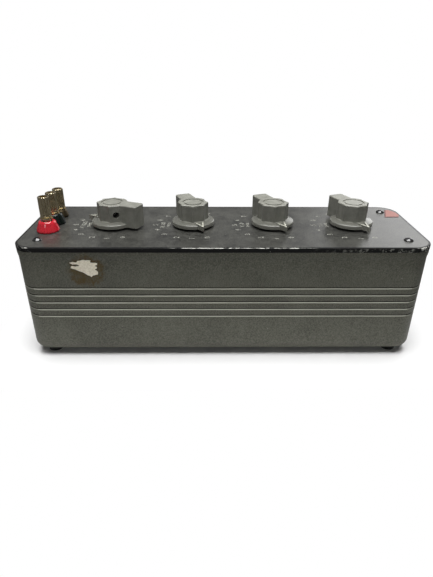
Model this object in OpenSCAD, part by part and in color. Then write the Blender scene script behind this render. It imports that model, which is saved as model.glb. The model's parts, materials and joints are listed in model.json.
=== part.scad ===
// Four-dial decade resistance box: ribbed metal case, panel, bar knobs, binding posts and the
// rotary switches inside. Units are millimetres. Z is up from the floor, Y runs to the back.

/* [Panel] */
// Length of the panel
panel_l = 330; // [300:1:360]
// Width of the panel
panel_w = 105; // [96:0.5:120]
// Thickness of the panel
panel_t = 3.8; // [3:0.1:5]
// Corner radius of the panel and case
corner_r = 16.5; // [14:0.5:19]
// Rounding of the panel's top edge
edge_r = 0.8; // [0.4:0.1:1.2]
// Distance of the panel screws from the ends and sides, as a share of the width
screw_share = 0.158; // [0.154:0.002:0.17]
// Radius of a panel screw's head
screw_head_r = 4; // [3.2:0.1:4.6]

/* [Case] */
// Height of the case without its feet
case_h = 91.8; // [82:0.2:110]
// Thickness of the walls
wall_t = 3.5; // [3:0.1:4.5]
// Thickness of the floor
floor_t = 4; // [3:0.5:5]
// Step from the panel's edge in to the wall
case_inset = 0.9; // [0.7:0.1:2.2]
// How far each wall leans in from the rim to the bottom
draft = 0.8; // [0.4:0.1:2]
// Rounding of the bottom edge
bottom_r = 7; // [5:0.5:7.5]
// Height of the flared rim
rim_h = 7; // [4:0.1:8]
// Number of grooves around the case
groove_count = 5; // [1:1:6]
// Depth of a groove
groove_depth = 0.85; // [0.5:0.05:1]
// Height of a groove's overhang
groove_up = 0.8; // [0.6:0.1:1.6]
// Height of a groove's sloping lower face
groove_low = 1.1; // [0.8:0.1:2.8]
// Distance between grooves
groove_pitch = 6.4; // [5:0.1:7.5]
// Distance of the first groove below the panel
groove_drop = 31.4; // [24:0.2:36]

/* [Feet] */
// Height of a foot
foot_h = 5.6; // [5:0.2:12]
// Radius of a foot at its top
foot_r = 6.8; // [5.5:0.1:7.5]
// Distance of the feet from the panel's ends
foot_inset_x = 17.3; // [16.5:0.1:19]
// Distance of the feet from the panel's sides
foot_inset_y = 15.2; // [15:0.1:17]

/* [Knobs] */
// Distance of the first knob from the panel's left end
first_knob_in = 71.1; // [68:0.1:76]
// Distance of the last knob from the panel's right end
last_knob_in = 54.1; // [50:0.1:58]
// Radius of the skirt
skirt_r = 18; // [16.5:0.5:20]
// Height of the skirt's edge
skirt_edge_h = 3.3; // [2.2:0.1:3.6]
// Rise of the skirt from its edge to the hub
skirt_rise = 1.3; // [0.8:0.1:2.4]
// Radius of the fluted hub
hub_r = 13; // [12:0.2:14]
// Height of the knob's top above the panel
knob_h = 20.5; // [17:0.5:24]
// Width of the bar
bar_w = 13.5; // [9:0.5:14]
// Reach of the bar from the shaft
bar_reach = 26.5; // [22:0.5:28]
// Reach of the pointer from the shaft
pointer_reach = 25; // [22:0.5:26]
// Width of the pointer where it leaves the hub
pointer_w = 10; // [6:0.5:12]
// Position shown by the first dial
setting_1 = 6; // [0:1:10]
// Position shown by the second dial
setting_2 = 0; // [0:1:10]
// Position shown by the third dial
setting_3 = 0; // [0:1:10]
// Position shown by the fourth dial
setting_4 = 0; // [0:1:10]

/* [Switches] */
// Radius of a knob shaft
shaft_r = 3.175; // [2.5:0.025:3.5]
// Half of the clearance between two switch decks
deck_gap = 2.15; // [1.5:0.05:4]
// Thickness of the switch deck
deck_t = 4; // [3:0.5:5]
// Distance from the panel to the switch deck
deck_drop = 18; // [17:0.5:24]
// Half of the clearance between two contact heads
contact_gap = 1.4; // [1:0.05:2]
// Length of a resistor spool
spool_l = 16; // [10:1:24]
// Half of the clearance between two resistor spools
spool_gap = 1.45; // [1.3:0.05:2]
// Width of the link straps
strap_w = 2; // [1.4:0.1:2.4]

/* [Binding posts] */
// Distance between binding posts
post_pitch = 19.05; // [18.6:0.05:20]
// Place of the row of posts in the room between the panel screws, from front to back
post_row_share = 0.866; // [0:0.002:1]
// Distance of the posts from the panel's end
post_inset = 19; // [17:0.5:22]
// Radius of an insulated post's base
post_base_r = 9.3; // [8:0.1:9.3]
// Height of an insulated post's base
post_base_h = 9; // [8:0.2:12]
// Radius of the ground post's base
ground_base_r = 7; // [6.4:0.1:8]
// Height of the ground post's base
ground_base_h = 7; // [6:0.2:9]
// Length of a clamping cap
cap_l = 17.3; // [14:0.1:22]
// How far the red post's cap is unscrewed
red_lift = 2; // [0:0.1:4]
// Radius of a clamping cap
cap_r = 4.6; // [4.4:0.1:5.2]
// Number of flutes on a clamping cap
cap_flutes = 14; // [8:1:18]
// Radius of a post's stud
post_stud_r = 3.175; // [3:0.025:3.3]
// Radius of the plug socket in a post
jack_r = 2.05; // [1.95:0.05:2.2]
// Depth of the plug socket
jack_depth = 16; // [10:0.5:16]

/* [Hidden] */
$fn = 64;
fit_gap = 0.05;
air_gap = 0.3;
over = 1;

case_z = foot_h;
panel_z = case_z + case_h;
top_z = panel_z + panel_t;
span_x = panel_l - 2 * corner_r;
span_y = panel_w - 2 * corner_r;

rim_step = 0.2;
rim_d = corner_r - rim_step;
rim_lip_h = rim_h * 0.45;
wall_top_d = corner_r - case_inset;
wall_bottom_d = wall_top_d - draft;
wall_run_h = case_h - rim_h;
wall_len = sqrt(wall_run_h * wall_run_h + draft * draft);
lean_cos = wall_run_h / wall_len;
lean_sin = draft / wall_len;
round_d = wall_bottom_d - bottom_r * (wall_len - draft) / wall_run_h;
boss_r = 6;
boss_web_t = 4;

screw_inset = panel_w * screw_share;
screw_x = panel_l / 2 - screw_inset;
screw_y = panel_w / 2 - screw_inset;
screw_r = 2;
screw_head_h = 2.2;
screw_l = 12;
screw_turn = 35;
slot_w = 1;
slot_depth = 0.9;

foot_x = panel_l / 2 - foot_inset_x;
foot_y = panel_w / 2 - foot_inset_y;
foot_taper = 0.9;
foot_base_r = foot_r - foot_taper;
foot_screw_r = 1.5;
foot_head_r = 2.8;
foot_head_h = 1.6;
foot_head_z = foot_h * 0.4;
foot_head_gap = 0.4;
foot_screw_grip = 4;
foot_screw_top = foot_h + floor_t + foot_screw_grip;

settings = [setting_1, setting_2, setting_3, setting_4];
knob_count = len(settings);
knob_pitch = (panel_l - first_knob_in - last_knob_in) / (knob_count - 1);
step_angle = 22.5;
last_step = 10;
dial_start = -67.5;
skirt_gap = 2.1;
skirt_round = 1;
skirt_shoulder = skirt_gap + skirt_edge_h;
skirt_top = skirt_shoulder + skirt_rise;
skirt_lap = 1;
flute_step = 45;
flute_side = 2;
flute_sag = 0.8;
flute_land = 1.2;
flute_chord = hub_r * sin(flute_step / 2) - flute_land / 2;
flute_cut_r = (flute_chord * flute_chord + flute_sag * flute_sag) / (2 * flute_sag);
flute_at = sqrt(hub_r * hub_r - flute_chord * flute_chord) - flute_sag + flute_cut_r;
ring_in_r = hub_r * 0.565;
ring_out_r = hub_r * 0.69;
ring_depth = 0.7;
pointer_lap = 2;
pointer_lift = 0.2;
tip_lift = 0.5;
pointer_root = hub_r - pointer_lap;
pointer_root_z = skirt_top + pointer_lift;
pointer_tip_z = skirt_shoulder + tip_lift;
pointer_rim = 1.4;
pointer_dish = 0.7;
recess_r = 9.6;
recess_top = 4.4;
set_angle = 135;
set_r = 2.6;
set_z = knob_h * 0.6;
set_tip = shaft_r + fit_gap / 2;
set_end = hub_r * 0.55;
shaft_end_gap = 0.5;

bush_wall = 1.6;
bush_r = shaft_r + bush_wall;
flange_w = 2.3;
bush_flange_r = bush_r + flange_w;
bush_top = 3.2;
nut_wall = 3.3;
nut_r = bush_r + nut_wall;
nut_h = 2.4;
plate_t = 2;
flange_t = 2;
wheel_r = 14;
wheel_t = 3;
wheel_gap = 1;
wheel_z = -plate_t - flange_t - wheel_gap - wheel_t;
notch_r = 1.2;
notch_count = 16;
lug_w = 4;
lug_reach = 17.8;
stop_pin_r = 1.5;
stop_ring_r = 17;
stop_pin_over = 1;
stop_gap = 0.4;
stop_pin_z = wheel_z - stop_pin_over;
stop_clear = (lug_w / 2 + stop_pin_r + stop_gap) / stop_ring_r * 180 / PI;
stop_angle = -dial_start - stop_clear;
leaf_t = 0.5;
leaf_bump_r = 1;
leaf_gap = 0.35;
leaf_x = wheel_r + leaf_gap + leaf_bump_r;
leaf_end = 10;
leaf_block = 4;
deck_r = knob_pitch / 2 - deck_gap;
pillar_r = 2.5;
pillar_in = 3;
pillar_ring_r = deck_r - pillar_in;
pillar_angles = [60, 180, 300];
pillar_bore = 7;
screw_end_gap = 1;
deck_screw_r = 1.2;
deck_head_r = 2.2;
deck_head_h = 1.6;
deck_bottom = -deck_drop - deck_t;
contact_in = 11;
contact_ring_r = deck_r - contact_in;
contact_r = contact_ring_r * sin(step_angle / 2) - contact_gap;
contact_head_h = 1.2;
contact_shank_r = 1.5;
tail_l = 3;
tail_z = deck_bottom - tail_l;
brush_z = -deck_drop + contact_head_h + air_gap;
brush_t = 0.8;
brush_w = 4.5;
brush_past = 2.2;
brush_reach = contact_ring_r + brush_past;
brush_hub_t = 2.8;
brush_hub_r = shaft_r + brush_hub_t;
collector_in_r = 8;
collector_out_r = 11;
collector_pin_r = 1.2;
collector_pin_at = (collector_in_r + collector_out_r) / 2;
shaft_stub = 4;
shaft_end = deck_bottom - shaft_stub;
shaft_top = knob_h * 0.8;
spool_ring_share = 0.797;
spool_ring_r = deck_r * spool_ring_share;
spool_r = spool_ring_r * sin(step_angle / 2) - spool_gap;
spool_core_share = 0.51;
spool_core_r = spool_r * spool_core_share;
spool_flange_t = 1.2;
winding_share = 0.886;
winding_r = spool_r * winding_share;
strap_t = 0.8;
strap_eye_r = strap_w * 0.75;
lane_gap = 5;
lane_y = deck_r + lane_gap;
lead_in = 17;
lead_out = 10;
lead_past = 8;

post_x = post_inset - panel_l / 2;
front_room = screw_y - screw_head_r - post_pitch - post_base_r;
back_room = screw_y - screw_head_r - post_pitch - ground_base_r;
post_row_y = post_row_share * (front_room + back_room) - front_room;
post_ys = [post_row_y - post_pitch, post_row_y, post_row_y + post_pitch];
base_rs = [post_base_r, post_base_r, ground_base_r];
base_hs = [post_base_h, post_base_h, ground_base_h];
base_edge = 0.6;
base_flange_h = 1.4;
base_neck_share = 0.7;
cap_lifts = [red_lift, 0, 0];
washer_edge = 0.6;
washer_r = cap_r + washer_edge;
washer_t = 0.9;
cap_bevel = 0.5;
cap_collar_h = 2;
cap_flute_r = 0.8;
stud_drop = 0.7;
insulator_r = 8;
insulator_t = 3;
collar_r = 5.4;
post_nut_r = 6.2;
post_nut_h = 3;

panel_black = [0.16, 0.16, 0.16];
case_grey = [0.28, 0.28, 0.27];
knob_grey = [0.33, 0.33, 0.31];
nickel = [0.62, 0.6, 0.55];
brass = [0.72, 0.58, 0.3];
steel = [0.55, 0.56, 0.58];
black = [0.06, 0.06, 0.06];
red = [0.7, 0.05, 0.07];
laminate = [0.4, 0.25, 0.14];
ceramic = [0.85, 0.82, 0.74];
copper = [0.72, 0.42, 0.24];

function knob_x(n) = first_knob_in - panel_l / 2 + (n - 1) * knob_pitch;
function pointer_angle(n) = dial_start - step_angle * settings[n - 1];
function wall_d(z) = wall_bottom_d + draft * z / wall_run_h;
function stud_top(p) = panel_t + base_hs[p] + washer_t + cap_l - stud_drop;

// Carries a child to the corners of a rectangle
module at_corners(x, y) {
    for (sx = [-1, 1])
        for (sy = [-1, 1])
            translate([sx * x, sy * y, 0])
                children();
}

// Carries a child to every knob, with Z from the underside of the panel
module at_switches() {
    for (n = [1 : knob_count])
        at_switch(n)
            children();
}

module at_switch(n) {
    translate([knob_x(n), 0, panel_z])
        children();
}

// Carries a child to one knob, turned to its dial, with Z from the given height
module at_knob(n, height) {
    translate([knob_x(n), 0, height])
        rotate([0, 0, pointer_angle(n)])
            children();
}

// Runs a profile of distance and height around the rounded outline
module around() {
    for (turn = [0, 180]) {
        rotate([0, 0, turn])
            translate([-span_x / 2, span_y / 2, 0])
                rotate([90, 0, 90])
                    linear_extrude(span_x)
                        children();
        rotate([0, 0, turn + 90])
            translate([-span_y / 2, span_x / 2, 0])
                rotate([90, 0, 90])
                    linear_extrude(span_y)
                        children();
        rotate([0, 0, turn])
            translate([span_x / 2, span_y / 2, 0])
                rotate_extrude(angle = 90)
                    children();
        rotate([0, 0, turn])
            translate([-span_x / 2, span_y / 2, 0])
                rotate([0, 0, 90])
                    rotate_extrude(angle = 90)
                        children();
    }
}

module tube(outer, inner, height) {
    difference() {
        cylinder(r = outer, h = height);
        translate([0, 0, -over])
            cylinder(r = inner, h = height + 2 * over);
    }
}

// Section through one wall with its share of the floor
module wall_section() {
    difference() {
        polygon([
            [0, 0],
            [wall_bottom_d, 0],
            [wall_top_d, wall_run_h],
            [rim_d, case_h - rim_lip_h],
            [rim_d, case_h],
            [wall_top_d - wall_t, case_h],
            [wall_d(floor_t) - wall_t, floor_t],
            [0, floor_t]
        ]);
        difference() {
            polygon([
                [round_d, -over],
                [wall_bottom_d + bottom_r, -over],
                [round_d + 2 * bottom_r * lean_cos, bottom_r - 2 * bottom_r * lean_sin],
                [round_d, bottom_r]
            ]);
            translate([round_d, bottom_r])
                circle(r = bottom_r);
        }
        for (g = [0 : groove_count - 1]) {
            groove_z = case_h - groove_drop - g * groove_pitch;
            flare = 1 + over / groove_depth;
            translate([wall_d(groove_z), groove_z])
                polygon([
                    [-groove_depth, 0],
                    [over, groove_up * flare],
                    [over, -groove_low * flare]
                ]);
        }
    }
}

// Web from a screw boss along X to the middle of the end wall
module boss_web() {
    edge = screw_inset - corner_r - wall_t / 2;
    translate([0, boss_web_t / 2, 0])
        rotate([90, 0, 0])
            linear_extrude(boss_web_t)
                polygon([
                    [0, floor_t / 2],
                    [edge + wall_d(bottom_r) - bottom_r, floor_t / 2],
                    [edge + wall_d(bottom_r), bottom_r],
                    [edge + wall_top_d, wall_run_h],
                    [0, wall_run_h]
                ]);
}

module case() {
    color(case_grey)
        translate([0, 0, case_z])
            difference() {
                union() {
                    around()
                        wall_section();
                    translate([-span_x / 2, -span_y / 2, 0])
                        cube([span_x, span_y, floor_t]);
                    at_corners(screw_x, screw_y)
                        translate([0, 0, floor_t / 2])
                            cylinder(r = boss_r, h = case_h - floor_t / 2);
                    for (sx = [-1, 1])
                        for (sy = [-1, 1])
                            translate([sx * screw_x, sy * screw_y, 0])
                                rotate([0, 0, sx * 90 - 90])
                                    boss_web();
                }
                at_corners(screw_x, screw_y)
                    translate([0, 0, case_h - screw_l])
                        cylinder(r = screw_r + fit_gap, h = screw_l + over);
                at_corners(foot_x, foot_y)
                    translate([0, 0, -over])
                        cylinder(r = foot_screw_r + fit_gap, h = over + floor_t + foot_screw_grip + over);
            }
}

// Section through the panel's edge
module panel_section() {
    square([corner_r - edge_r, panel_t]);
    square([corner_r, panel_t - edge_r]);
    translate([corner_r - edge_r, panel_t - edge_r])
        circle(r = edge_r);
}

module panel() {
    color(panel_black)
        translate([0, 0, panel_z])
            difference() {
                union() {
                    around()
                        panel_section();
                    translate([-span_x / 2, -span_y / 2, 0])
                        cube([span_x, span_y, panel_t]);
                }
                at_corners(screw_x, screw_y)
                    translate([0, 0, -over])
                        cylinder(r = screw_r + fit_gap, h = panel_t + 2 * over);
                for (n = [1 : knob_count])
                    translate([knob_x(n), 0, -over])
                        cylinder(r = bush_r + fit_gap, h = panel_t + 2 * over);
                for (p = [0, 1])
                    translate([post_x, post_ys[p], -over])
                        cylinder(r = collar_r + fit_gap, h = panel_t + 2 * over);
                translate([post_x, post_ys[2], -over])
                    cylinder(r = post_stud_r + fit_gap, h = panel_t + 2 * over);
            }
}

module panel_screw() {
    dome_r = (screw_head_r * screw_head_r + screw_head_h * screw_head_h) / (2 * screw_head_h);
    difference() {
        intersection() {
            translate([0, 0, screw_head_h - dome_r])
                sphere(r = dome_r);
            cylinder(r = screw_head_r + over, h = screw_head_h + over);
        }
        translate([-screw_head_r - over, -slot_w / 2, screw_head_h - slot_depth])
            cube([2 * (screw_head_r + over), slot_w, slot_depth + over]);
    }
    translate([0, 0, screw_end_gap - screw_l])
        cylinder(r = screw_r, h = screw_l - screw_end_gap + screw_head_h / 2);
}

module panel_screws() {
    color(black)
        at_corners(screw_x, screw_y)
            translate([0, 0, top_z])
                rotate([0, 0, screw_turn])
                    panel_screw();
}

module rubber_feet() {
    color(black)
        at_corners(foot_x, foot_y)
            difference() {
                cylinder(r1 = foot_base_r, r2 = foot_r, h = foot_h);
                translate([0, 0, -over])
                    cylinder(r = foot_head_r + foot_head_gap, h = foot_head_z + over);
                cylinder(r = foot_screw_r + fit_gap, h = foot_h + over);
            }
}

module foot_screws() {
    color(steel)
        at_corners(foot_x, foot_y) {
            translate([0, 0, foot_head_z - foot_head_h])
                cylinder(r = foot_head_r, h = foot_head_h);
            translate([0, 0, foot_head_z - foot_head_h / 2])
                cylinder(r = foot_screw_r, h = foot_screw_top - foot_head_z + foot_head_h / 2);
        }
}

module shaft_bushings() {
    color(brass)
        at_switches()
            difference() {
                union() {
                    translate([0, 0, -plate_t - flange_t])
                        cylinder(r = bush_flange_r, h = flange_t);
                    translate([0, 0, -plate_t - flange_t])
                        cylinder(r = bush_r, h = plate_t + flange_t + panel_t + bush_top);
                }
                translate([0, 0, -plate_t - flange_t - over])
                    cylinder(r = shaft_r + fit_gap, h = plate_t + flange_t + panel_t + bush_top + 2 * over);
            }
}

module bushing_nuts() {
    color(steel)
        at_switches()
            translate([0, 0, panel_t])
                difference() {
                    cylinder(r = nut_r, h = nut_h, $fn = 6);
                    translate([0, 0, -over])
                        cylinder(r = bush_r + fit_gap, h = nut_h + 2 * over);
                }
}

module index_plates() {
    color(steel)
        at_switches()
            translate([0, 0, -plate_t])
                tube(deck_r, bush_r + fit_gap, plate_t);
}

module stop_pins() {
    color(steel)
        at_switches()
            for (side = [-1, 1])
                rotate([0, 0, side * stop_angle])
                    translate([stop_ring_r, 0, stop_pin_z])
                        cylinder(r = stop_pin_r, h = -plate_t - stop_pin_z);
}

// A leaf whose rounded bump faces the notches of the detent wheel
module detent_springs() {
    color(brass)
        at_switches() {
            translate([leaf_x, -leaf_end / 3, wheel_z])
                cube([leaf_t, leaf_end * 4 / 3 + leaf_block / 2, wheel_t]);
            translate([leaf_x + leaf_t / 2, 0, wheel_z])
                cylinder(r = leaf_bump_r + leaf_t / 2, h = wheel_t);
            translate([leaf_x, leaf_end, wheel_z])
                cube([leaf_block, leaf_block, -plate_t - wheel_z]);
        }
}

module deck_pillars() {
    color(brass)
        at_switches()
            for (a = pillar_angles)
                rotate([0, 0, a])
                    translate([pillar_ring_r, 0, -deck_drop])
                        difference() {
                            cylinder(r = pillar_r, h = deck_drop - plate_t);
                            translate([0, 0, -over])
                                cylinder(r = deck_screw_r + fit_gap, h = pillar_bore + over);
                        }
}

module deck_screws() {
    color(steel)
        at_switches()
            for (a = pillar_angles)
                rotate([0, 0, a])
                    translate([pillar_ring_r, 0, deck_bottom]) {
                        translate([0, 0, -deck_head_h])
                            cylinder(r = deck_head_r, h = deck_head_h);
                        translate([0, 0, -deck_head_h / 2])
                            cylinder(r = deck_screw_r, h = deck_head_h / 2 + deck_t + pillar_bore - screw_end_gap);
                    }
}

module collector_rings() {
    color(brass)
        at_switches() {
            translate([0, 0, -deck_drop])
                tube(collector_out_r, collector_in_r, contact_head_h);
            translate([collector_pin_at, 0, tail_z])
                cylinder(r = collector_pin_r, h = -deck_drop - tail_z + contact_head_h / 2);
        }
}

// Carries a child to each contact of a deck
module at_contacts() {
    for (k = [0 : last_step])
        rotate([0, 0, dial_start - step_angle * k])
            translate([contact_ring_r, 0, 0])
                children();
}

module switch_deck(n) {
    color(laminate)
        at_switch(n)
            translate([0, 0, deck_bottom])
                difference() {
                    cylinder(r = deck_r, h = deck_t);
                    translate([0, 0, -over])
                        cylinder(r = shaft_r + fit_gap, h = deck_t + 2 * over);
                    at_contacts()
                        translate([0, 0, -over])
                            cylinder(r = contact_shank_r + fit_gap, h = deck_t + 2 * over);
                    translate([collector_pin_at, 0, -over])
                        cylinder(r = collector_pin_r + fit_gap, h = deck_t + 2 * over);
                    for (a = pillar_angles)
                        rotate([0, 0, a])
                            translate([pillar_ring_r, 0, -over])
                                cylinder(r = deck_screw_r + fit_gap, h = deck_t + 2 * over);
                }
}

module contacts(n) {
    color(brass)
        at_switch(n)
            at_contacts() {
                translate([0, 0, -deck_drop])
                    cylinder(r = contact_r, h = contact_head_h);
                translate([0, 0, tail_z])
                    cylinder(r = contact_shank_r, h = -deck_drop - tail_z + contact_head_h / 2);
            }
}

// Carries a child to each resistor, halfway between two contacts
module at_resistors() {
    for (k = [0 : last_step - 1])
        rotate([0, 0, dial_start - step_angle * (k + 0.5)])
            translate([spool_ring_r, 0, deck_bottom - spool_l])
                children();
}

module resistor_spools(n) {
    color(ceramic)
        at_switch(n)
            at_resistors() {
                cylinder(r = spool_r, h = spool_flange_t);
                translate([0, 0, spool_flange_t / 2])
                    cylinder(r = spool_core_r, h = spool_l - spool_flange_t);
                translate([0, 0, spool_l - spool_flange_t])
                    cylinder(r = spool_r, h = spool_flange_t);
            }
}

module resistor_windings() {
    color(copper)
        at_switches()
            at_resistors()
                translate([0, 0, spool_flange_t + fit_gap])
                    tube(winding_r, spool_core_r + fit_gap, spool_l - 2 * spool_flange_t - 2 * fit_gap);
}

// Flat strap along a line of points, with a round eye at each point
module strap(points) {
    linear_extrude(strap_t) {
        for (p = [0 : len(points) - 2]) {
            reach = points[p + 1] - points[p];
            translate(points[p])
                rotate(atan2(reach[1], reach[0]))
                    translate([0, -strap_w / 2])
                        square([norm(reach), strap_w]);
        }
        for (p = points)
            translate(p)
                circle(r = strap_eye_r);
    }
}

module link_straps() {
    first_x = contact_ring_r * cos(dial_start);
    first_y = contact_ring_r * sin(dial_start);
    lead_x = first_x + lead_past;
    color(copper)
        translate([0, 0, panel_z + tail_z - strap_t]) {
            for (n = [1 : knob_count - 1])
                strap([
                    [knob_x(n) + collector_pin_at, 0],
                    [knob_x(n) + knob_pitch / 2, 0],
                    [knob_x(n) + knob_pitch / 2, -lane_y],
                    [knob_x(n + 1) + lead_x, -lane_y],
                    [knob_x(n + 1) + first_x, first_y]
                ]);
            strap([
                [post_x, post_ys[0]],
                [post_x + lead_in, -lane_y],
                [knob_x(1) + lead_x, -lane_y],
                [knob_x(1) + first_x, first_y]
            ]);
            strap([
                [knob_x(knob_count) + collector_pin_at, 0],
                [knob_x(knob_count) + knob_pitch / 2, 0],
                [knob_x(knob_count) + knob_pitch / 2 - lead_out, lane_y],
                [post_x + lead_in, lane_y],
                [post_x, post_ys[1]]
            ]);
        }
}

// Outline of a knob from above: a hub with shallow flutes and narrow lands, and a bar
module knob_outline() {
    translate([-bar_reach, -bar_w / 2])
        square([bar_reach, bar_w]);
    difference() {
        circle(r = hub_r);
        for (k = [-flute_side : flute_side])
            rotate(k * flute_step)
                translate([flute_at, 0])
                    circle(r = flute_cut_r);
    }
}

// Section through the skirt
module skirt_section() {
    polygon([
        [0, skirt_gap],
        [skirt_r, skirt_gap],
        [skirt_r, skirt_shoulder - skirt_round],
        [skirt_r - skirt_round, skirt_shoulder],
        [hub_r - skirt_lap, skirt_top],
        [0, skirt_top]
    ]);
    translate([skirt_r - skirt_round, skirt_shoulder - skirt_round])
        circle(r = skirt_round);
}

// Outline of the pointer from above, drawn in by the given rim
module pointer_outline(rim) {
    polygon([
        [pointer_root, rim - pointer_w / 2],
        [pointer_reach - rim * 2 * (pointer_reach - pointer_root) / pointer_w, 0],
        [pointer_root, pointer_w / 2 - rim]
    ]);
}

// Side of the pointer, sloping down to the tip, sunk by the given depth
module pointer_side(sink) {
    translate([0, pointer_w, 0])
        rotate([90, 0, 0])
            linear_extrude(2 * pointer_w)
                polygon([
                    [pointer_root, skirt_gap],
                    [pointer_reach, skirt_gap],
                    [pointer_reach, pointer_tip_z - sink],
                    [pointer_root, pointer_root_z - sink]
                ]);
}

// Wedge on the skirt with a dished top, so that its edges stand up in a V
module pointer() {
    difference() {
        intersection() {
            linear_extrude(knob_h)
                pointer_outline(0);
            pointer_side(0);
        }
        difference() {
            linear_extrude(knob_h)
                pointer_outline(pointer_rim);
            pointer_side(pointer_dish);
        }
    }
}

// Moulded bar knob, pointer along X, Z from the panel's face
module knob(n) {
    color(knob_grey)
        at_knob(n, top_z)
            difference() {
                union() {
                    rotate_extrude()
                        skirt_section();
                    translate([0, 0, skirt_gap])
                        linear_extrude(knob_h - skirt_gap)
                            knob_outline();
                    pointer();
                }
                cylinder(r = shaft_r + fit_gap, h = shaft_top + shaft_end_gap);
                cylinder(r = recess_r, h = recess_top);
                translate([0, 0, knob_h - ring_depth])
                    tube(ring_out_r, ring_in_r, ring_depth + over);
                rotate([0, 0, set_angle])
                    translate([0, 0, set_z])
                        rotate([0, 90, 0])
                            cylinder(r = set_r + fit_gap, h = hub_r + bar_w);
            }
}

module set_screw(n) {
    color(steel)
        at_knob(n, top_z)
            rotate([0, 0, set_angle])
                translate([set_tip, 0, set_z])
                    rotate([0, 90, 0])
                        difference() {
                            cylinder(r = set_r, h = set_end - set_tip);
                            translate([-slot_w / 2, -set_r - over, set_end - set_tip - slot_depth])
                                cube([slot_w, 2 * (set_r + over), slot_depth + over]);
                        }
}

module shaft(n) {
    color(steel)
        at_knob(n, panel_z)
            translate([0, 0, shaft_end])
                cylinder(r = shaft_r, h = panel_t + shaft_top - shaft_end);
}

// Notched wheel with a lug that meets the stop pins at the ends of the dial
module detent_wheel(n) {
    color(brass)
        at_knob(n, panel_z)
            translate([0, 0, wheel_z])
                difference() {
                    union() {
                        difference() {
                            cylinder(r = wheel_r, h = wheel_t);
                            for (k = [1 : notch_count - 1])
                                rotate([0, 0, k * step_angle])
                                    translate([wheel_r + notch_r / 4, 0, -over])
                                        cylinder(r = notch_r, h = wheel_t + 2 * over);
                        }
                        translate([wheel_r / 2, -lug_w / 2, 0])
                            cube([lug_reach - wheel_r / 2, lug_w, wheel_t]);
                    }
                    translate([0, 0, -over])
                        cylinder(r = shaft_r + fit_gap, h = wheel_t + 2 * over);
                }
}

// Brush arm whose end passes over the contacts
module wiper(n) {
    color(brass)
        at_knob(n, panel_z)
            difference() {
                union() {
                    translate([0, 0, brush_z])
                        cylinder(r = brush_hub_r, h = wheel_z - brush_z);
                    translate([0, -brush_w / 2, brush_z])
                        cube([brush_reach, brush_w, brush_t]);
                }
                translate([0, 0, brush_z - over])
                    cylinder(r = shaft_r + fit_gap, h = wheel_z - brush_z + 2 * over);
            }
}

module post_base(p) {
    r = base_rs[p];
    h = base_hs[p];
    neck_r = r * base_neck_share;
    translate([post_x, post_ys[p], top_z])
        difference() {
            rotate_extrude()
                polygon([
                    [0, 0],
                    [r - base_edge / 2, 0],
                    [r, base_edge],
                    [r, base_flange_h],
                    [neck_r + base_edge, h - base_flange_h],
                    [neck_r, h - base_edge],
                    [neck_r - base_edge, h],
                    [0, h]
                ]);
            translate([0, 0, -over])
                cylinder(r = post_stud_r + fit_gap, h = h + 2 * over);
        }
}

module post_studs() {
    color(nickel)
        for (p = [0 : 2])
            translate([post_x, post_ys[p], panel_z])
                difference() {
                    translate([0, 0, tail_z])
                        cylinder(r = post_stud_r, h = stud_top(p) - tail_z);
                    translate([0, 0, stud_top(p) - jack_depth])
                        cylinder(r = jack_r, h = jack_depth + over);
                }
}

// Shoulder washers that keep two of the posts off the metal panel
module post_insulators() {
    color(black)
        for (p = [0, 1])
            translate([post_x, post_ys[p], panel_z])
                difference() {
                    union() {
                        translate([0, 0, -insulator_t])
                            cylinder(r = insulator_r, h = insulator_t);
                        translate([0, 0, -insulator_t])
                            cylinder(r = collar_r, h = insulator_t + panel_t);
                    }
                    translate([0, 0, -insulator_t - over])
                        cylinder(r = post_stud_r + fit_gap, h = insulator_t + panel_t + 2 * over);
                }
}

module post_nuts() {
    color(brass)
        for (p = [0 : 2])
            translate([post_x, post_ys[p], panel_z - post_nut_h - (p < 2 ? insulator_t : 0)])
                difference() {
                    cylinder(r = post_nut_r, h = post_nut_h, $fn = 6);
                    translate([0, 0, -over])
                        cylinder(r = post_stud_r + fit_gap, h = post_nut_h + 2 * over);
                }
}

// Carries a child to one post, with Z from the underside of its washer
module at_cap(p) {
    translate([post_x, post_ys[p], top_z + base_hs[p] + cap_lifts[p]])
        children();
}

module post_washer(p) {
    color(nickel)
        at_cap(p)
            tube(washer_r, post_stud_r + fit_gap, washer_t);
}

module post_cap(p) {
    color(nickel)
        at_cap(p)
            translate([0, 0, washer_t])
                difference() {
                    rotate_extrude()
                        polygon([
                            [0, 0],
                            [cap_r - cap_bevel, 0],
                            [cap_r, cap_bevel],
                            [cap_r, cap_l - cap_bevel],
                            [cap_r - cap_bevel, cap_l],
                            [0, cap_l]
                        ]);
                    translate([0, 0, -over])
                        cylinder(r = post_stud_r + fit_gap, h = cap_l + 2 * over);
                    for (k = [0 : cap_flutes - 1])
                        rotate([0, 0, k * 360 / cap_flutes])
                            translate([cap_r + cap_flute_r * 0.3, 0, cap_collar_h])
                                cylinder(r = cap_flute_r, h = cap_l);
                }
}

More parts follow.
